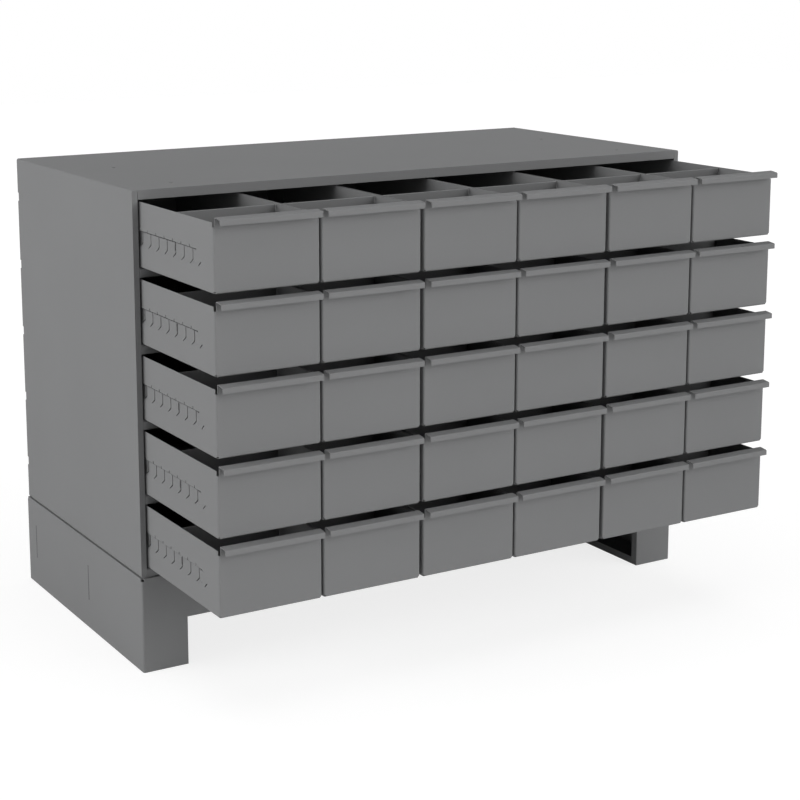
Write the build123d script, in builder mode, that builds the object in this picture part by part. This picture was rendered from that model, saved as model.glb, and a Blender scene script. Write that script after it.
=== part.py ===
"""Parts drawer cabinet of folded sheet steel, in millimetres.

A shell with four shelves, a floor and upright partitions stands on a separate base. Thirty open drawers,
each with one cross divider, slide on the shelves. +Z is up and the drawers pull out towards -Y. The origin
lies on the floor, under the middle of the object as it stands with its drawers half out.
"""
import os

from build123d import *

os.makedirs("parts", exist_ok=True)

# Layout
rows = 5
bays = 3  # openings side by side, each two drawers wide
pull_out = 218.6  # how far every drawer stands out at rest

# Drawer: one folded sheet with a turned lip along its front
drawer_width = 145.9
drawer_length = 425.4
drawer_height = 87.3
drawer_sheet = 0.9
drawer_bend = 2.5
handle_reach = 14.0
handle_rise = 6.9  # of its rear edge above the rim
handle_fall = 2.0  # from its rear edge to its front
handle_lip = 7.3
handle_bend = 2.4
relief_gap = 0.5  # past the corner bends
relief_height = 5.8

# Slots in a drawer's sides: a long slit with short slots that go down from it
slit_front = 48.4  # from the drawer's front
slit_length = 331.0
slit_bottom = 48.1
slit_width = 1.0
slot_first = 61.5
slot_pitch = 25.4
slot_count = 6
slot_depth = 14.1
slot_width = 1.0

# Divider: a plain sheet with a folded top edge
divider_sheet = 0.9
divider_slot = 3  # the slots that it stands at, counted from the front
divider_drop = 1.0  # below the drawer's rim
divider_hem = 5.0
divider_corner = 4.0
divider_gap = 0.3

# Running clearances of the drawers
slide_gap = 0.3  # under a drawer
head_gap = 2.6  # from a drawer's rim up to the flange above it
pair_gap = 2.7  # between the two drawers of a bay
partition_gap = 1.8
flange_gap = 2.8  # from an outer drawer to the shell's front flange
back_gap = 7.5

# Cabinet
shell_sheet = 1.2
shell_bend = 3.0
side_flange = 7.8
front_flange = 12.7  # height of the top's and the shelves' front flanges
rear_flange = 15.0
foot_flange = 19.0  # turned in under the cabinet
flange_slit = 0.5
shelf_sheet = 1.0
shelf_bend = 2.0
back_sheet = 0.9
partition_sheet = 1.2
partition_setback = 3.0
fit_gap = 0.3  # between sheets that are fitted past each other
notch_height = 12.7
notch_depth = 3.2
top_hole_radius = 2.75
top_hole_side = 79.4
top_hole_front = 52.4
top_hole_pitch = 196.9

# Base
base_height = 133.4
base_sheet = 1.5
base_bend = 3.0
base_side_proud = 1.8
base_end_proud = 3.7
base_flange = 26.0
foot_width = 66.7
apron_height = 65.1
foot_lip = 11.0
base_relief = 4.0
brace_sheet = 1.5
brace_bend = 2.5
brace_height = 50.8  # of the tabs that pass through the base's sides
brace_low = 43.5
brace_flange = 20.0
brace_slot_gap = 0.15
front_brace_place = 193.7  # from the front of the base
rear_brace_place = 36.4  # from its back

# Worked out from the sizes above
bay_gap = partition_sheet + 2 * partition_gap
drawers_span = 2 * bays * drawer_width + bays * pair_gap + (bays - 1) * bay_gap
cabinet_width = drawers_span + 2 * (flange_gap + side_flange)
cabinet_depth = drawer_length + back_gap + back_sheet + shell_sheet
row_opening = slide_gap + drawer_height + head_gap
row_pitch = row_opening + front_flange
floor_top = base_height + front_flange
cabinet_top = floor_top + rows * row_pitch
cabinet_height = cabinet_top - base_height
base_width = cabinet_width + 2 * base_side_proud
base_depth = cabinet_depth + 2 * base_end_proud
inner_width = cabinet_width - 2 * shell_sheet
inner_height = cabinet_height - 2 * shell_sheet
half_width = cabinet_width / 2
half_base = base_width / 2
brace_places = (front_brace_place, base_depth - rear_brace_place)
divider_place = slot_first + (divider_slot - 1) * slot_pitch

# Places along Y: the whole, from the handles to the back of the base, is centred on the origin
front = (pull_out + handle_reach - cabinet_depth - base_end_proud) / 2
back = front + cabinet_depth
base_front = front - base_end_proud
base_back = back + base_end_proud
back_panel_face = back - shell_sheet - back_sheet

# Alignments: on the middle in X and from the low end in the others
ON_MIDDLE = (Align.CENTER, Align.MIN)
ON_FLOOR = (Align.CENTER, Align.MIN, Align.MIN)


def shelf_top(row):
    """Height of the sheet that a row's drawers slide on; row 1 is the top one."""
    return floor_top + (rows - row) * row_pitch


def column_left(column):
    """X of the left side of a column's drawers; column 1 is the left one."""
    pairs, odd = divmod(column - 1, 2)
    gaps = pairs * (pair_gap + bay_gap) + odd * pair_gap
    return (column - 1) * drawer_width + gaps - drawers_span / 2


def xz_plane(y):
    """A plane that faces the front, at a place along Y; extruding by a negative amount goes backwards."""
    return Plane.XZ.offset(-y)


def yz_plane(x):
    """A plane that faces +X, at a place along X."""
    return Plane.YZ.offset(x)


def save(part, name):
    """Label a finished piece and write it under its own name."""
    part.label = name
    export_step(part, f"parts/{name}.step")


def folded_section(corners, bend, sheet, side):
    """The section of a folded sheet: a line with one flat facet at each bend, made thick to one side."""
    ends = [Vector(*corner) for corner in corners]
    points = [ends[0]]
    for before, corner, after in zip(ends, ends[1:], ends[2:]):
        points.append(corner + (before - corner).normalized() * bend)
        points.append(corner + (after - corner).normalized() * bend)
    points.append(ends[-1])
    with BuildSketch() as section:
        with BuildLine():
            Polyline(*points)
            offset(amount=sheet, side=side, kind=Kind.INTERSECTION)
        make_face()
    return section.sketch


def make_shell():
    """Top and sides in one sheet, with flanges turned in along the front, the back and below."""
    section_corners = [
        (foot_flange - half_width, base_height),
        (-half_width, base_height),
        (-half_width, cabinet_top),
        (half_width, cabinet_top),
        (half_width, base_height),
        (half_width - foot_flange, base_height),
    ]
    with BuildPart() as shell:
        with BuildSketch(xz_plane(front)):
            with BuildLine():
                FilletPolyline(*section_corners, radius=shell_bend)
                offset(amount=shell_sheet, side=Side.RIGHT)
            make_face()
        extrude(amount=-cabinet_depth)

        # front and rear flanges close the ends of the folded sheet like a frame
        for place, wide, tall in ((front, side_flange, front_flange),
                                  (back - shell_sheet, rear_flange, rear_flange)):
            with BuildSketch(xz_plane(place)):
                with Locations((0, base_height + shell_sheet)):
                    Rectangle(inner_width, inner_height, align=ON_MIDDLE)
                with Locations((0, base_height + shell_sheet)):
                    Rectangle(cabinet_width - 2 * wide, cabinet_height - shell_sheet - tall, align=ON_MIDDLE,
                              mode=Mode.SUBTRACT)
            extrude(amount=-shell_sheet)

        # slits that part the top's front flange from the flanges of the sides
        slit_x = half_width - side_flange - flange_slit / 2
        with Locations(*[(side * slit_x, front, cabinet_top - front_flange) for side in (-1, 1)]):
            Box(flange_slit, shell_sheet, front_flange - shell_bend, align=ON_FLOOR, mode=Mode.SUBTRACT)

        # notches through the rear corners, beside the middle of every row
        for row in range(1, rows + 1):
            low = shelf_top(row) + (row_opening - notch_height) / 2
            with Locations(*[(side * half_width, back, low) for side in (-1, 1)]):
                Box(2 * notch_depth, 2 * notch_depth, notch_height, mode=Mode.SUBTRACT,
                    align=(Align.CENTER, Align.CENTER, Align.MIN))

        hole_x = half_width - top_hole_side
        hole_ys = (front + top_hole_front, front + top_hole_front + top_hole_pitch)
        with Locations(*[(side * hole_x, y, cabinet_top) for side in (-1, 1) for y in hole_ys]):
            Hole(top_hole_radius, depth=2 * shell_sheet)
    return shell.part


def make_back_panel():
    """A flat sheet against the insides of the shell's rear flanges."""
    with BuildPart() as panel:
        with BuildSketch(xz_plane(back_panel_face)):
            with Locations((0, base_height + shell_sheet + fit_gap)):
                Rectangle(inner_width - 2 * fit_gap, inner_height - 2 * fit_gap, align=ON_MIDDLE)
        extrude(amount=-back_sheet)
        # its corners are cut off to clear the shell's bends
        chamfer(panel.edges().filter_by(Axis.Y), length=shell_bend)
    return panel.part


def make_shelf(top, flange, end_flange):
    """A full-width sheet turned down all round, its front by one height and its other edges by another."""
    section_corners = [
        (front, top - flange),
        (front, top),
        (back_panel_face, top),
        (back_panel_face, top - end_flange),
    ]
    behind_flange = front + shell_sheet + fit_gap
    with BuildPart() as shelf:
        with BuildSketch(yz_plane(0)):
            add(folded_section(section_corners, shelf_bend, shelf_sheet, Side.RIGHT))
        extrude(amount=inner_width / 2, both=True)
        end_length = back_panel_face - shelf_sheet - behind_flange
        end_x = (inner_width - shelf_sheet) / 2
        with BuildSketch(Plane.XY.offset(top - end_flange)):
            with Locations(*[(side * end_x, behind_flange) for side in (-1, 1)]):
                Rectangle(shelf_sheet, end_length, align=ON_MIDDLE)
        extrude(amount=end_flange - shelf_sheet)
        # the front corners are cut out to pass the shell's side flanges
        with Locations(*[(side * half_width, front, top - flange) for side in (-1, 1)]):
            Box(2 * (side_flange + fit_gap), behind_flange - front, flange, align=ON_FLOOR,
                mode=Mode.SUBTRACT)
    return shelf.part


def make_partition(line, row):
    """An upright sheet between two bays, from one shelf to the next."""
    ceiling = cabinet_top - shell_sheet if row == 1 else shelf_top(row - 1) - shelf_sheet
    low = shelf_top(row)
    with BuildPart() as partition:
        with BuildSketch(yz_plane(column_left(2 * line + 1) - bay_gap / 2)):
            with Locations((front + partition_setback, low)):
                Rectangle(back_panel_face - front - 2 * partition_setback, ceiling - low,
                          align=(Align.MIN, Align.MIN))
        extrude(amount=partition_sheet / 2, both=True)
    return partition.part


def make_base():
    """A ring of folded sheet with a foot at each corner and flanges turned in above and below."""
    middle = (base_front + base_back) / 2
    inner_base = (base_width - 2 * base_sheet, base_depth - 2 * base_sheet)
    arch_height = base_height - apron_height
    foot_face = half_base - foot_width
    with BuildPart() as base:
        with BuildSketch():
            with Locations((0, middle)):
                RectangleRounded(base_width, base_depth, base_bend)
                RectangleRounded(*inner_base, base_bend - base_sheet, mode=Mode.SUBTRACT)
        extrude(amount=base_height)
        with Locations((0, middle, 0)):
            Box(2 * foot_face, 2 * base_depth, arch_height, mode=Mode.SUBTRACT,
                align=(Align.CENTER, Align.CENTER, Align.MIN))

        # flange turned in all round the top
        with BuildSketch(Plane.XY.offset(base_height - base_sheet)):
            with Locations((0, middle)):
                Rectangle(*inner_base)
                Rectangle(base_width - 2 * base_flange, base_depth - 2 * base_flange, mode=Mode.SUBTRACT)
        extrude(amount=base_sheet)

        # flanges under the sides, each with an upturned lip between the feet's own returns
        for side in (-1, 1):
            lip_x = side * (foot_face + base_sheet / 2)
            with BuildSketch():
                with Locations((side * (half_base - base_sheet / 2 - foot_width / 2), middle)):
                    Rectangle(foot_width - base_sheet, base_depth - 2 * base_sheet)
            extrude(amount=base_sheet)
            with BuildSketch():
                with Locations((lip_x, middle)):
                    Rectangle(base_sheet, base_depth - 2 * base_sheet)
            extrude(amount=foot_lip)
            with BuildSketch():
                with Locations((lip_x, base_front + base_sheet)):
                    Rectangle(base_sheet, foot_lip, align=ON_MIDDLE)
                with Locations((lip_x, base_back - base_sheet)):
                    Rectangle(base_sheet, foot_lip, align=(Align.CENTER, Align.MAX))
            extrude(amount=arch_height)

        # reliefs where the bends of a top corner meet
        corners = [(side * half_base, y, base_height) for side in (-1, 1) for y in (base_front, base_back)]
        with Locations(*corners):
            Box(2 * base_relief, 2 * base_relief, 2 * base_relief, mode=Mode.SUBTRACT)

        # slots for the braces' tabs
        for place in brace_places:
            with Locations((0, base_front + place - brace_slot_gap, brace_low - brace_slot_gap)):
                Box(2 * base_width, brace_sheet + 2 * brace_slot_gap, brace_height + 2 * brace_slot_gap,
                    align=ON_FLOOR, mode=Mode.SUBTRACT)
    return base.part


def make_brace(place):
    """A cross member of the base: an upright web with a top flange, and tabs that fill its slots."""
    near = base_front + place
    far = near + brace_sheet
    ceiling = base_height - base_sheet
    section_corners = [
        (far, brace_low),
        (far, ceiling),
        (far - brace_flange, ceiling),
    ]
    with BuildPart() as brace:
        with BuildSketch(yz_plane(0)):
            add(folded_section(section_corners, brace_bend, brace_sheet, Side.LEFT))
        extrude(amount=half_base - base_sheet, both=True)
        with Locations((0, near, brace_low)):
            Box(base_width, brace_sheet, brace_height, align=ON_FLOOR)
    return brace.part


def make_tray():
    """One drawer without its divider: the front faces -Y at Y = 0 and the underside lies at Z = 0."""
    handle_top = drawer_height + handle_rise
    handle_front_top = handle_top - handle_fall
    handle_corners = [
        (drawer_sheet, drawer_height - relief_height),
        (drawer_sheet, handle_top),
        (-handle_reach, handle_front_top),
        (-handle_reach, handle_front_top - handle_lip),
    ]
    front_corners = [(side * drawer_width / 2, 0) for side in (-1, 1)]
    with BuildPart() as tray:
        # the drawer is repeated thirty times, so each bend is one flat facet
        Box(drawer_width, drawer_length, drawer_height, align=ON_FLOOR)
        upright_folds = tray.faces().sort_by(Axis.Y)[0].edges().filter_by(Axis.Z)
        bottom_folds = tray.faces().sort_by(Axis.Z)[0].edges().sort_by(Axis.Y)[:3]
        chamfer(upright_folds + bottom_folds, length=drawer_bend)
        offset(amount=-drawer_sheet, openings=tray.faces().sort_by(Axis.Z)[-1], kind=Kind.INTERSECTION)

        # the front corners are relieved at the rim, so that the front can turn over, and at the bottom
        with Locations(*[(x, y, drawer_height) for x, y in front_corners]):
            Box(2 * drawer_bend, drawer_bend + relief_gap, relief_height, mode=Mode.SUBTRACT,
                align=(Align.CENTER, Align.MIN, Align.MAX))
        with Locations(*front_corners):
            Box(2 * drawer_bend, 2 * drawer_bend, 2 * drawer_bend, mode=Mode.SUBTRACT)

        # slots through both sides
        with BuildSketch(yz_plane(0)):
            with Locations((slit_front, slit_bottom)):
                Rectangle(slit_length, slit_width, align=(Align.MIN, Align.MIN))
            for number in range(slot_count):
                with Locations((slot_first + number * slot_pitch, slit_bottom)):
                    Rectangle(slot_width, slot_depth, align=(Align.CENTER, Align.MAX))
        extrude(amount=drawer_width, both=True, mode=Mode.SUBTRACT)

        # between its corner bends the front goes on above the rim and turns forwards and down into the handle
        with BuildSketch(yz_plane(0)):
            add(folded_section(handle_corners, handle_bend, drawer_sheet, Side.LEFT))
        extrude(amount=drawer_width / 2 - drawer_bend, both=True)
    return tray.part


def make_divider():
    """The divider in its place in that drawer, a clearance inside its walls and bottom."""
    low = drawer_sheet + divider_gap
    high = drawer_height - divider_drop
    wide = drawer_width - 2 * (drawer_sheet + divider_gap)
    with BuildPart() as divider:
        with BuildSketch(xz_plane(divider_place)) as sheet:
            with Locations((0, low)):
                Rectangle(wide, high - low, align=ON_MIDDLE)
            chamfer(sheet.vertices().group_by(Axis.Y)[0], length=divider_corner)
        extrude(amount=-divider_sheet)
        with BuildSketch(xz_plane(divider_place)):
            with Locations((0, high)):
                Rectangle(wide, divider_hem, align=(Align.CENTER, Align.MAX))
        extrude(amount=-2 * divider_sheet)
    return divider.part


save(make_shell(), "cabinet_shell")
save(make_back_panel(), "back_panel")
save(make_shelf(floor_top, front_flange - shell_sheet, front_flange - shell_bend), "cabinet_floor")
for row in range(1, rows):
    save(make_shelf(shelf_top(row), front_flange, front_flange), f"shelf_{row}")
for row in range(1, rows + 1):
    for line in range(1, bays):
        save(make_partition(line, row), f"partition_r{row}_{line}")
save(make_base(), "base_frame")
for number, place in enumerate(brace_places, start=1):
    save(make_brace(place), f"base_brace_{number}")

tray_shape = make_tray()
divider_shape = make_divider()
for row in range(1, rows + 1):
    for column in range(1, 2 * bays + 1):
        middle_x = column_left(column) + drawer_width / 2
        with BuildPart() as drawer:
            with Locations((middle_x, front - pull_out, shelf_top(row) + slide_gap)):
                add(tray_shape)
                add(divider_shape)
        save(drawer.part, f"drawer_r{row}_c{column}")
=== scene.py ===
"""Parts drawer cabinet: thirty folded drawers with dividers in their cabinet, in one grey powder coat."""
import math

import bpy
import numpy as np
from mathutils import Matrix, Vector
from mathutils.geometry import delaunay_2d_cdt


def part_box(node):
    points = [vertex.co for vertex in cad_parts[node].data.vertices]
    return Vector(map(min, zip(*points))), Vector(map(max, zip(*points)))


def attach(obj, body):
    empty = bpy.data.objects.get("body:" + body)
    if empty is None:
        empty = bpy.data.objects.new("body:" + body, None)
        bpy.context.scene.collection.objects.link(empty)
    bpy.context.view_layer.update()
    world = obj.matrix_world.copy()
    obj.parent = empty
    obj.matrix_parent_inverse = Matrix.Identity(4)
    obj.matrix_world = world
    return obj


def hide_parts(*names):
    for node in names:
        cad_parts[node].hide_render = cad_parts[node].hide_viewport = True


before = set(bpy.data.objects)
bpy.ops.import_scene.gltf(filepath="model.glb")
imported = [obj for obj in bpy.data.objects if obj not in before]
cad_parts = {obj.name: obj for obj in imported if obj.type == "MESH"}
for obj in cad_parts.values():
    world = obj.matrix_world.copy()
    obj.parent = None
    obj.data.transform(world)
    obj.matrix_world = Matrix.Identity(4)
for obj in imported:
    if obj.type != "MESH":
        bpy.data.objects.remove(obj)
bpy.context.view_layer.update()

MM = 0.001  # sizes are in millimetres down to the joint line, and in metres from the powder coat on

# Drawer: middle of the front's foot at the origin, the rear towards +Y
DRAWER_WIDTH = 145.9
DRAWER_LENGTH = 425.4
DRAWER_HEIGHT = 87.3
SHEET = 0.9
FOLD = 2.5  # outer radius of a bend
FOLD_STEPS = 5
HANDLE_REACH = 14.0
HANDLE_RISE = 6.9  # above the rim
HANDLE_FALL = 2.0  # from its rear edge to its front one
HANDLE_LIP = 7.3
HANDLE_FOLD = 0.8
RIM_RELIEF = (3.0, 5.8)  # length behind the front, height below the rim
FOOT_RELIEF = 2.8  # square cut where three folds would meet
HAIR = 0.001  # keeps an edge off the line where a bend starts

# Lanced slots of a drawer's side: distances behind the front and heights above the bottom
SLIT = (48.4, 379.4)
SLIT_HEIGHT = 48.6
SLIT_WIDTH = 1.6
SLOT_WIDTH = 1.8
SLOT_FIRST = 61.5
SLOT_PITCH = 25.4
SLOT_COUNT = 13
SLOT_KNEE = 34.0
SLOT_TOE = 28.3
TOE_REACH = 7.0
TICK_BEHIND = 6.0  # behind its slot
TICK_WIDTH = 1.6
TICK_HEIGHT = 4.0

# Pressed band that the slots are cut in
PRESS_FOOT = 27.0
PRESS_RISE = 5.0
PRESS_DEPTH = 1.7
PRESS_RUN = 12.0

# Divider
DIVIDER_PLACE = 112.3  # behind the front
DIVIDER_TOP = 86.3
DIVIDER_FOOT = 1.3
DIVIDER_SIDE_GAP = 2.0
DIVIDER_CORNER = 5.0
HEM_HEIGHT = 5.0
HEM_GAP = 0.4
HOOK = (37.5, 47.0)  # lower and upper edge
HOOK_INSET = 0.2  # from the hook's end to the side's outer face

# Tabs of the base's braces in the base's sides: their front faces, sheet and heights
TAB_PLACES = (86.95, 299.25)
TAB_SHEET = 1.5
TAB_LOW = 43.5
TAB_HIGH = 94.3
JOINT_LINE = 0.9

# A triangle that a corner's normal leans from by more than this is shaded flat
SHARP = math.radians(20)

# Powder coat: its grey and gloss, and the sizes of its features
GREY = 0.192
GREY_RANGE = (0.93, 1.07)  # shares of the grey that drift and speckle run between
JOINT_SHADE = 0.3  # share of the grey that is left in a joint's shadow
ROUGHNESS = 0.72
GLOSS = 0.015
DRIFT_SIZE = 0.16
SPECKLE_SIZE = 0.0009
PEEL_SIZE = 0.0016
GRAIN_SIZE = 0.0005
PEEL_DEPTH = 0.00006
PEEL_STRENGTH = 0.35
PEEL_SHARE = 0.8  # share of the peel in the bump's height; the rest is grain
PEEL_ROUGHNESS = 0.12  # how much the roughness varies with the peel
DRIFT_ROUGHNESS = 0.06  # how much it varies with the drift

# Floor and light
FLOOR_REACH = 9.0
FLOOR_WHITE = 0.9
FLOOR_GLOW = 1.15
GLOW_SHARE = 0.7  # share of the floor's own glow in what the camera sees
SURROUND = 0.5  # its light on the part from the side, which fades to none from straight above
LAMPS = (  # name, strength, width in degrees, direction that it stands in
    ("left_lamp", 2.25, 45, (-1.0, 0.2, 0.2)),
    ("right_lamp", 2.2, 60, (0.72, -1.0, 0.3)),
    ("top_lamp", 1.2, 60, (0.0, 0.0, 1.0)),
)

# Camera, fitted to the photograph with a small shift: its place, the way it looks and its picture's right
CAMERA_PLACE = (-1.363707, -2.232184, 0.961031)
CAMERA_LOOK = (0.49390605, 0.85076874, -0.17958107)
CAMERA_RIGHT = (0.86449487, -0.50262893, -0.00357351)
CAMERA_LENS = 80.359  # in millimetres, as the sensor is
CAMERA_SENSOR = 36
CAMERA_SHIFT = (0.06, -0.15)  # shares of the picture's width
CAMERA_REACH = 100


class Bend:
    """A line of straight runs and round bends, followed by its developed length."""

    def __init__(self, corners, radii):
        """Straight runs from corner to corner; at an inner corner an arc of its radius replaces the corner,
        from one tangent point to the other. The stations are the runs' ends and the arcs' equal steps."""
        corners = np.array(corners, float)
        runs = np.diff(corners, axis=0)
        runs /= np.linalg.norm(runs, axis=1)[:, None]
        right = np.stack([runs[:, 1], -runs[:, 0]], 1)
        spots, normals = [corners[:1]], [right[:1]]
        for k, radius in enumerate(radii):
            run, following = runs[k], runs[k + 1]
            turn = math.atan2(run[0] * following[1] - run[1] * following[0], run @ following)
            side = math.copysign(1, turn)
            start = corners[k + 1] - run * radius * math.tan(abs(turn) / 2)
            centre = start - right[k] * radius * side
            angles = np.linspace(0, turn, FOLD_STEPS + 1)
            turned = np.stack([right[k][0] * np.cos(angles) - right[k][1] * np.sin(angles),
                               right[k][0] * np.sin(angles) + right[k][1] * np.cos(angles)], 1)
            spots.append(centre + turned * radius * side)
            normals.append(turned)
        self.spots = np.concatenate(spots + [corners[-1:]])
        self.normals = np.concatenate(normals + [right[-1:]])
        strides = np.linalg.norm(np.diff(self.spots, axis=0), axis=1)
        self.lengths = np.concatenate([[0], np.cumsum(strides)])

    def at(self, length):
        """Spot and right-hand normal at a developed length, in line between stations."""
        spot = np.stack([np.interp(length, self.lengths, self.spots[:, k]) for k in (0, 1)], 1)
        normal = np.stack([np.interp(length, self.lengths, self.normals[:, k]) for k in (0, 1)], 1)
        return spot, normal / np.linalg.norm(normal, axis=1)[:, None]


def inside(points, loops):
    """True for each point that an odd number of the loops' edges pass to the right of."""
    odd = np.zeros(len(points), bool)
    for loop in loops:
        a = np.array(loop, float)
        b = np.roll(a, -1, axis=0)
        above = (a[:, 1] > points[:, 1, None]) != (b[:, 1] > points[:, 1, None])
        rise = np.where(b[:, 1] == a[:, 1], 1.0, b[:, 1] - a[:, 1])
        cross = a[:, 0] + (points[:, 1, None] - a[:, 1]) * (b[:, 0] - a[:, 0]) / rise
        odd ^= (above & (points[:, 0, None] < cross)).sum(1) % 2 == 1
    return odd


def blank(loops, folds):
    """A flat blank: triangles that fill the space between closed outlines, with edges along the fold lines.
    Returns the corners and the triangles, counter-clockwise."""
    spots, edges = [], []
    for loop in loops:
        first = len(spots)
        spots.extend(Vector(p) for p in loop)
        edges.extend((first + k, first + (k + 1) % len(loop)) for k in range(len(loop)))
    for a, b in folds:
        edges.append((len(spots), len(spots) + 1))
        spots.extend([Vector(a), Vector(b)])
    corners, _, faces, *_ = delaunay_2d_cdt(spots, edges, [], 0, 1e-5)
    corners = np.array([tuple(v) for v in corners])
    faces = np.array(faces)
    faces = faces[inside(corners[faces].mean(1), loops)]
    used, faces = np.unique(faces, return_inverse=True)
    corners, faces = corners[used], faces.reshape(-1, 3)
    one, two, three = (corners[faces[:, k]] for k in range(3))
    clockwise = np.cross(two - one, three - one) < 0
    faces[clockwise] = faces[clockwise][:, ::-1]
    return corners, faces


def sheet(loops, folds, place):
    """A folded sheet: the blank's corners go to their places on the outer face, and the inner face lies one
    sheet's thickness behind along each corner's normal. Walls close the cut edges.
    Returns points, triangles and a normal for each corner of each triangle."""
    flat, faces = blank(loops, folds)
    outer, normals = place(flat)
    inner = outer - normals * SHEET
    count = len(outer)
    points = np.concatenate([outer, inner])
    sides = np.concatenate([faces[:, [0, 1]], faces[:, [1, 2]], faces[:, [2, 0]]])
    keys = np.sort(sides, axis=1) @ np.array([count, 1])
    _, first, times = np.unique(keys, return_index=True, return_counts=True)
    rim = sides[first[times == 1]]
    walls = np.concatenate([np.stack([rim[:, 1], rim[:, 0], rim[:, 0] + count], 1),
                            np.stack([rim[:, 1], rim[:, 0] + count, rim[:, 1] + count], 1)])
    triangles = np.concatenate([faces, faces[:, ::-1] + count, walls])
    smooth = np.concatenate([normals, -normals])[triangles]
    one, two, three = (points[triangles[:, k]] for k in range(3))
    flat_normal = np.cross(two - one, three - one)
    flat_normal /= np.maximum(np.linalg.norm(flat_normal, axis=1), 1e-12)[:, None]
    lean = (smooth * flat_normal[:, None]).sum(2).min(1)
    sharp = lean < math.cos(SHARP)
    smooth[sharp] = flat_normal[sharp][:, None]
    return points, triangles, smooth


def joined(sheets):
    """Several sheets as one set of points, triangles and normals."""
    starts = np.cumsum([0] + [len(points) for points, _, _ in sheets])
    return (np.concatenate([points for points, _, _ in sheets]),
            np.concatenate([triangles + start for (_, triangles, _), start in zip(sheets, starts)]),
            np.concatenate([normals for _, _, normals in sheets]))


def flat_plate(low, high, origin, along, up):
    """A flat rectangle of sheet between two corners: a point is the origin plus its two distances times two
    directions, and the normal is their cross product."""
    origin, along, up = (np.array(v, float) for v in (origin, along, up))
    normal = np.cross(along, up)

    def place(flat):
        return origin + flat[:, :1] * along + flat[:, 1:] * up, np.tile(normal, (len(flat), 1))
    return sheet([[low, (high[0], low[1]), high, (low[0], high[1])]], [], place)


def slot_outlines():
    """The cuts of one side, as outlines of distance behind the front and height: a comb of one long slit with
    a J-shaped slot below it at each pitch and a short tick above it, and the odd toe in front of them."""
    half, tick = SLOT_WIDTH / 2, TICK_WIDTH / 2
    low, high = SLIT_HEIGHT - SLIT_WIDTH / 2, SLIT_HEIGHT + SLIT_WIDTH / 2
    tick_top = SLIT_HEIGHT + TICK_HEIGHT
    foot = [(-half, SLOT_KNEE), (TOE_REACH - half, SLOT_TOE), (TOE_REACH, SLOT_TOE + half),
            (half, SLOT_KNEE + half)]
    teeth = np.array([(-half, low)] + foot + [(half, low)])
    ticks = np.array([(tick, high), (tick, tick_top), (-tick, tick_top), (-tick, high)])
    places = SLOT_FIRST + SLOT_PITCH * np.arange(SLOT_COUNT)
    shift = np.stack([places, np.zeros(SLOT_COUNT)], 1)[:, None]
    below = (teeth + shift).reshape(-1, 2)
    above = (ticks + shift[::-1] + (TICK_BEHIND, 0)).reshape(-1, 2)
    comb = np.concatenate([[(SLIT[0], low)], below,
                           [(SLIT[1], low), (SLIT[1], high)], above, [(SLIT[0], high)]])
    return comb, np.array(foot) + (SLOT_FIRST - SLOT_PITCH, 0)


def pressed(behind, height):
    """How far a side is pressed inwards: in line to the full depth within a short rise from the foot of the
    slots, then even up to the slit, and fading out in line towards the slit's ends."""
    rise = np.clip((height - PRESS_FOOT) / PRESS_RISE, 0, 1)
    along = np.clip(np.minimum(behind - SLIT[0], SLIT[1] - behind) / PRESS_RUN, 0, 1)
    return PRESS_DEPTH * rise * along * (height < SLIT_HEIGHT)


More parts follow.
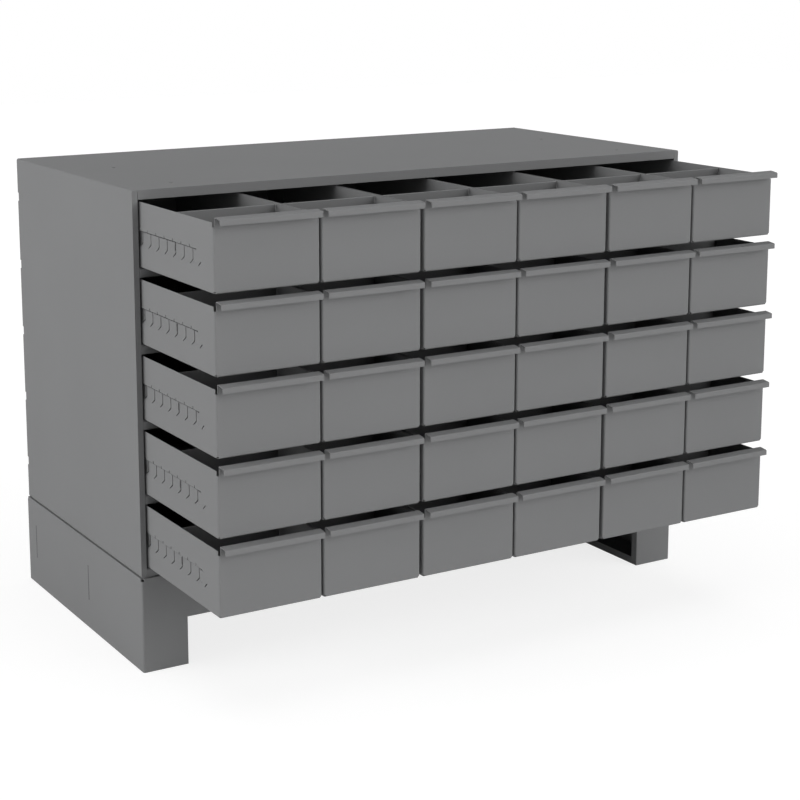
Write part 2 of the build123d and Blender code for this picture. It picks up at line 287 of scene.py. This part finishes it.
class TrayBlank:
    """The drawer's flat blank. Across, it follows the plan: forwards along the left side, round the front and
    back along the right side. Upwards it follows the section: out from the bottom, up the wall, and at the
    front on above the rim, forwards and down into the handle."""

    def __init__(self):
        """The plan and the section as bent lines, and the blank's lengths at its square cuts and its lip. The
        handle slopes by its fall over its depth."""
        half = DRAWER_WIDTH / 2
        self.plan = Bend([(-half, DRAWER_LENGTH), (-half, 0), (half, 0), (half, DRAWER_LENGTH)], [FOLD, FOLD])
        handle_top = DRAWER_HEIGHT + HANDLE_RISE
        slope = HANDLE_FALL / (HANDLE_REACH + SHEET)
        under = handle_top - slope * SHEET - SHEET * math.hypot(1, slope)
        reach = HANDLE_REACH - SHEET
        self.section = Bend([(-FOLD - HAIR, 0), (0, 0), (0, under), (reach, under - slope * reach),
                             (reach, handle_top - HANDLE_FALL - HANDLE_LIP)],
                            [FOLD, HANDLE_FOLD, HANDLE_FOLD])
        self.left_end = self.plan.lengths[1]
        self.right_end = self.plan.lengths[2 * FOLD_STEPS + 2]
        self.whole = self.plan.lengths[-1]
        edge = half - FOOT_RELIEF
        lip = half - FOLD - HAIR
        self.foot_cuts = (self.left(FOOT_RELIEF), self.across(-edge),
                          self.across(edge), self.right(FOOT_RELIEF))
        self.lip_ends = (self.across(-lip), self.across(lip))
        self.foot = self.up(FOOT_RELIEF)
        self.low_rim = self.up(DRAWER_HEIGHT - RIM_RELIEF[1])

    def left(self, behind):
        """Length along the plan to a place on the left side, by its distance behind the front."""
        return DRAWER_LENGTH - behind

    def right(self, behind):
        """Length along the plan to a place on the right side, by its distance behind the front."""
        return self.whole - DRAWER_LENGTH + behind

    def across(self, x):
        """Length along the plan to a place on the front, by its distance from the middle."""
        return (self.left_end + self.right_end) / 2 + x

    def up(self, z):
        """Length up the section to a height on the wall."""
        return self.section.lengths[FOLD_STEPS + 1] + z - FOLD

    def outline(self):
        """The blank's edge, with a square cut at each lower front corner and a relief beside the handle."""
        left_cut, left_edge, right_edge, right_cut = self.foot_cuts
        left_lip, right_lip = self.lip_ends
        left_rim, right_rim = self.left(RIM_RELIEF[0]), self.right(RIM_RELIEF[0])
        rim, top = self.up(DRAWER_HEIGHT), self.section.lengths[-1]
        return [(0, 0), (left_cut, 0), (left_cut, self.foot), (left_edge, self.foot), (left_edge, 0),
                (right_edge, 0), (right_edge, self.foot), (right_cut, self.foot), (right_cut, 0),
                (self.whole, 0), (self.whole, rim), (right_rim, rim), (right_rim, self.low_rim),
                (right_lip, self.low_rim), (right_lip, top), (left_lip, top), (left_lip, self.low_rim),
                (left_rim, self.low_rim), (left_rim, rim), (0, rim)]

    def cuts(self):
        """The outlines of the slots in both sides."""
        return [[(behind(y), self.up(z)) for y, z in cut]
                for behind in (self.left, self.right) for cut in slot_outlines()]

    def folds(self):
        """The lines that the blank bends along: around the pressed bands, along the bottom's bend, along the
        handle's two bends and up the front corners."""
        lines = []
        for behind in (self.left, self.right):
            for z in (PRESS_FOOT, PRESS_FOOT + PRESS_RISE):
                lines.append(((behind(SLIT[0]), self.up(z)), (behind(SLIT[1]), self.up(z))))
            for y in (SLIT[0], SLIT[0] + PRESS_RUN, SLIT[1] - PRESS_RUN, SLIT[1]):
                lines.append(((behind(y), self.up(PRESS_FOOT)),
                              (behind(y), self.up(SLIT_HEIGHT - SLIT_WIDTH / 2))))
        left_cut, left_edge, right_edge, right_cut = self.foot_cuts
        for u in self.section.lengths[1:FOLD_STEPS + 2]:
            for start, end in ((0, left_cut), (left_edge, right_edge), (right_cut, self.whole)):
                lines.append(((start, u), (end, u)))
        left_lip, right_lip = self.lip_ends
        for u in self.section.lengths[FOLD_STEPS + 2:-1]:
            lines.append(((left_lip, u), (right_lip, u)))
        for s in self.plan.lengths[1:-1]:
            lines.append(((s, self.foot), (s, self.low_rim)))
        return lines

    def place(self, flat):
        """A point is the plan's spot moved along the plan's normal by the section's reach, at the section's
        height, and on the sides it is pressed inwards from there."""
        spot, away = self.plan.at(flat[:, 0])
        reached, lean = self.section.at(flat[:, 1])
        spot = spot + away * reached[:, :1]
        height = reached[:, 1]
        straight = (flat[:, 0] < self.left_end) | (flat[:, 0] > self.right_end)
        inwards = np.where(straight, pressed(spot[:, 1], height), 0)
        spot = spot - away * inwards[:, None]
        return np.column_stack([spot, height]), np.column_stack([away * lean[:, :1], lean[:, 1]])


def make_tray():
    """The drawer: its folded blank with a flat bottom and a flat rear."""
    tray = TrayBlank()
    folded = sheet([tray.outline()] + tray.cuts(), tray.folds(), tray.place)
    half = DRAWER_WIDTH / 2
    bottom = flat_plate((FOLD, FOLD - half), (DRAWER_LENGTH, half - FOLD), (0, 0, 0), (0, 1, 0), (1, 0, 0))
    rear = flat_plate((-half + SHEET, SHEET), (half - SHEET, DRAWER_HEIGHT), (0, DRAWER_LENGTH, 0),
                      (-1, 0, 0), (0, 0, 1))
    return joined([folded, bottom, rear])


def make_divider():
    """The divider: one blank that follows the section up its front face, over the top and down into the hem,
    with a hook at each end that passes through a slot of the drawer's side. A point is the section's spot at
    its length up the blank, as far across as it is on the blank."""
    half = DRAWER_WIDTH / 2 - SHEET - DIVIDER_SIDE_GAP
    deep = 2 * SHEET + HEM_GAP
    section = Bend([(0, DIVIDER_FOOT), (0, DIVIDER_TOP), (-deep, DIVIDER_TOP),
                    (-deep, DIVIDER_TOP - HEM_HEIGHT)], [deep / 2, deep / 2])
    top = section.lengths[-1]
    hook = DRAWER_WIDTH / 2 - HOOK_INSET
    hook_low, hook_high = (z - DIVIDER_FOOT for z in HOOK)
    side = [(half - DIVIDER_CORNER, 0), (half, DIVIDER_CORNER), (half, hook_low), (hook, hook_low),
            (hook, hook_high), (half, hook_high), (half, top)]
    outline = side + [(-x, z) for x, z in side[::-1]]
    folds = [((-half, u), (half, u)) for u in section.lengths[1:-1]]

    def place(flat):
        spot, away = section.at(flat[:, 1])
        x = flat[:, :1]
        return (np.column_stack([x, -spot[:, :1], spot[:, 1:]]),
                np.column_stack([0 * x, -away[:, :1], away[:, 1:]]))
    return sheet([outline], folds, place)


def new_object(name, data):
    """An object of the data, in the scene."""
    made = bpy.data.objects.new(name, data)
    bpy.context.scene.collection.objects.link(made)
    return made


def new_piece(name, shape, offset):
    """A mesh object from points in millimetres, moved by an offset in metres, with its own corner normals."""
    points, triangles, normals = shape
    mesh = bpy.data.meshes.new(name)
    mesh.vertices.add(len(points))
    mesh.vertices.foreach_set("co", (points * MM + np.array(offset)).astype(np.float32).ravel())
    mesh.loops.add(triangles.size)
    mesh.loops.foreach_set("vertex_index", triangles.astype(np.int32).ravel())
    mesh.polygons.add(len(triangles))
    mesh.polygons.foreach_set("loop_start", np.arange(0, triangles.size, 3, dtype=np.int32))
    mesh.polygons.foreach_set("use_smooth", np.ones(len(triangles), bool))
    mesh.update(calc_edges=True)
    mesh.normals_split_custom_set(normals.reshape(-1, 3).tolist())
    return new_object(name, mesh)


class Line:
    """A socket of a node tree that takes part in sums: each operator adds a Math node."""

    def __init__(self, tree, socket):
        self.tree, self.socket = tree, socket

    def math(self, operation, *terms):
        node = self.tree.nodes.new("ShaderNodeMath")
        node.operation = operation
        for slot, term in zip(node.inputs, terms):
            if isinstance(term, Line):
                self.tree.links.new(term.socket, slot)
            else:
                slot.default_value = term
        return Line(self.tree, node.outputs[0])

    def __add__(self, other):
        return self.math("ADD", self, other)

    def __radd__(self, other):
        return self.math("ADD", other, self)

    def __sub__(self, other):
        return self.math("SUBTRACT", self, other)

    def __rsub__(self, other):
        return self.math("SUBTRACT", other, self)

    def __mul__(self, other):
        return self.math("MULTIPLY", self, other)

    def __rmul__(self, other):
        return self.math("MULTIPLY", other, self)

    def size(self):
        return self.math("ABSOLUTE", self)

    def larger(self, other):
        return self.math("MAXIMUM", self, other)

    def below(self, limit):
        return self.math("LESS_THAN", self, limit)

    def limited(self):
        """Held between 0 and 1."""
        return self.math("MINIMUM", self.larger(0.0), 1.0)

    def beside(self, output):
        """Another output of the same node."""
        return Line(self.tree, self.socket.node.outputs[output])


class Nodes:
    """The nodes of a material or of the surround, around its own shader."""

    def __init__(self, owner, shader):
        owner.use_nodes = True
        self.tree = owner.node_tree
        self.shader = self.tree.nodes[shader]

    def node(self, kind, output, sockets=(), **settings):
        """Any node: its settings are set first, then the values or links of its sockets, by name, or by
        number where names repeat."""
        node = self.tree.nodes.new(kind)
        for key, value in settings.items():
            setattr(node, key, value)
        self.fill(node, dict(sockets))
        return Line(self.tree, node.outputs[output])

    def fill(self, node, sockets):
        """Values or links of a node's sockets."""
        for key, value in sockets.items():
            if isinstance(value, Line):
                self.tree.links.new(value.socket, node.inputs[key])
            else:
                node.inputs[key].default_value = value

    def set(self, sockets):
        """Values or links of the shader's own sockets."""
        self.fill(self.shader, sockets)

    def noise(self, where, size, detail):
        """Noise from 0 to 1 with features about as large as the size in metres."""
        return self.node("ShaderNodeTexNoise", 0, {"Vector": where, "Scale": 1 / size, "Detail": detail})

    def blend(self, factor, low, high):
        """A colour between two, by a factor from 0 to 1."""
        return self.node("ShaderNodeMix", 2, {0: factor, 6: low, 7: high}, data_type="RGBA")


def grey_of(value):
    """A neutral colour, a touch cool."""
    return (value * 0.99, value, value * 1.01, 1)


def joint_lines(coat, where):
    """1 in the thin shadow line around each brace's tab in the base's sides, else 0: a point is on the line
    where the larger of its two distances beyond the tab's outline, along and up, is less than half the line's
    width."""
    along = coat.node("ShaderNodeSeparateXYZ", "Y", {0: where})
    up = along.beside("Z")
    beyond_up = (up - (TAB_LOW + TAB_HIGH) / 2 * MM).size() - (TAB_HIGH - TAB_LOW) / 2 * MM

    def around(front):
        beyond_along = (along - (front + TAB_SHEET / 2) * MM).size() - TAB_SHEET / 2 * MM
        return beyond_along.larger(beyond_up).size().below(JOINT_LINE / 2 * MM)
    front_line, rear_line = (around(front) for front in TAB_PLACES)
    return front_line + rear_line


def powder_coat(name, jointed=False):
    """A satin powder coat: a close grey that drifts over a hand's width, a fine speckle, and the orange peel
    of the baked powder as a shallow bump with features of a millimetre or two and a finer grain on it."""
    material = bpy.data.materials.new(name)
    coat = Nodes(material, "Principled BSDF")
    where = coat.node("ShaderNodeTexCoord", "Object")
    drift = coat.noise(where, DRIFT_SIZE, 3.0)
    speckle = coat.noise(where, SPECKLE_SIZE, 1.0)
    peel = coat.noise(where, PEEL_SIZE, 1.5)
    grain = coat.noise(where, GRAIN_SIZE, 1.0)
    tone = ((drift - 0.5) * 0.5 + (speckle - 0.5) * 0.5 + 0.5).limited()
    darkest, palest = (grey_of(GREY * share) for share in GREY_RANGE)
    colour = coat.blend(tone, darkest, palest)
    if jointed:
        colour = coat.blend(joint_lines(coat, where), colour, grey_of(GREY * JOINT_SHADE))
    relief = peel * PEEL_SHARE + grain * (1 - PEEL_SHARE)
    bump = coat.node("ShaderNodeBump", "Normal",
                     {"Strength": PEEL_STRENGTH, "Distance": PEEL_DEPTH, "Height": relief})
    roughness = ROUGHNESS + (peel - 0.5) * PEEL_ROUGHNESS + (drift - 0.5) * DRIFT_ROUGHNESS
    coat.set({"Base Color": colour, "Roughness": roughness, "Specular IOR Level": GLOSS, "Normal": bump})
    return material


# Paint of the cabinet and the base
cabinet_paint = powder_coat("cabinet_powder_coat")
base_paint = powder_coat("base_powder_coat", jointed=True)
for name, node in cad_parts.items():
    node.data.materials.clear()
    node.data.materials.append(base_paint if name.startswith("base") else cabinet_paint)

# Drawers: a tray and a divider in the place of each
drawer_paint = powder_coat("drawer_powder_coat")
divider_paint = powder_coat("divider_powder_coat")
drawer_pieces = (  # name, shape, paint, place behind the front
    ("tray", make_tray(), drawer_paint, 0),
    ("divider", make_divider(), divider_paint, DIVIDER_PLACE - SHEET / 2),
)
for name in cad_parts:
    if not name.startswith("drawer_"):
        continue
    low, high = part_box(name)
    for kind, shape, paint, behind in drawer_pieces:
        front = low.y + HANDLE_REACH * MM
        piece = new_piece(f"{name}_{kind}", shape, ((low.x + high.x) / 2, front + behind * MM, low.z))
        piece.data.materials.append(paint)
        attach(piece, name)
        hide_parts(name)

# Floor: pale, and white where nothing shades it
floor_mesh = bpy.data.meshes.new("floor")
floor_mesh.from_pydata([(-FLOOR_REACH, -FLOOR_REACH, 0), (FLOOR_REACH, -FLOOR_REACH, 0),
                        (FLOOR_REACH, FLOOR_REACH, 0), (-FLOOR_REACH, FLOOR_REACH, 0)], [], [(0, 1, 2, 3)])
floor = new_object("floor", floor_mesh)
pale_floor = bpy.data.materials.new("pale_floor")
floor_mesh.materials.append(pale_floor)
ground = Nodes(pale_floor, "Principled BSDF")
ground.set({"Base Color": (FLOOR_WHITE, FLOOR_WHITE, FLOOR_WHITE, 1), "Roughness": 0.9,
            "Specular IOR Level": 0.0})
lit = Line(ground.tree, ground.shader.outputs[0])
glow = ground.node("ShaderNodeEmission", 0, {"Color": (1, 1, 1, 1), "Strength": FLOOR_GLOW})
seen = ground.node("ShaderNodeLightPath", "Is Camera Ray")
surface = ground.node("ShaderNodeMixShader", 0, {0: seen * GLOW_SHARE, 1: lit, 2: glow})
ground.fill(ground.tree.nodes["Material Output"], {"Surface": surface})

# Light: a white surround that sheds its light mostly from low down, and three soft lamps
world = bpy.data.worlds.new("surround")
bpy.context.scene.world = world
surround = Nodes(world, "Background")
lighting = surround.node("ShaderNodeLightPath", "Is Diffuse Ray")
direction = surround.node("ShaderNodeTexCoord", "Generated")
height = surround.node("ShaderNodeSeparateXYZ", "Z", {0: direction})
held_back = (1 - SURROUND) + height.limited() * SURROUND
surround.set({"Color": (1, 1, 1, 1), "Strength": 1 - lighting * held_back})
for name, strength, width, towards in LAMPS:
    lamp = bpy.data.lights.new(name, "SUN")
    lamp.energy = strength
    lamp.angle = math.radians(width)
    lamp_object = new_object(name, lamp)
    lamp_object.rotation_mode = "QUATERNION"
    lamp_object.rotation_quaternion = Vector(towards).to_track_quat("Z", "Y")

# Camera: its axes are the picture's right and up, and the way back from what it looks at
look = Vector(CAMERA_LOOK).normalized()
across_picture = Vector(CAMERA_RIGHT)
up_picture = across_picture.cross(look)
facing = Matrix((across_picture, up_picture, -look)).transposed()
camera_data = bpy.data.cameras.new("camera")
camera_data.sensor_width = CAMERA_SENSOR
camera_data.lens = CAMERA_LENS
camera_data.shift_x, camera_data.shift_y = CAMERA_SHIFT
camera_data.clip_end = CAMERA_REACH
camera = new_object("camera", camera_data)
camera.matrix_world = Matrix.Translation(CAMERA_PLACE) @ facing.to_4x4()
bpy.context.scene.camera = camera
bpy.context.scene.view_settings.view_transform = "Standard"
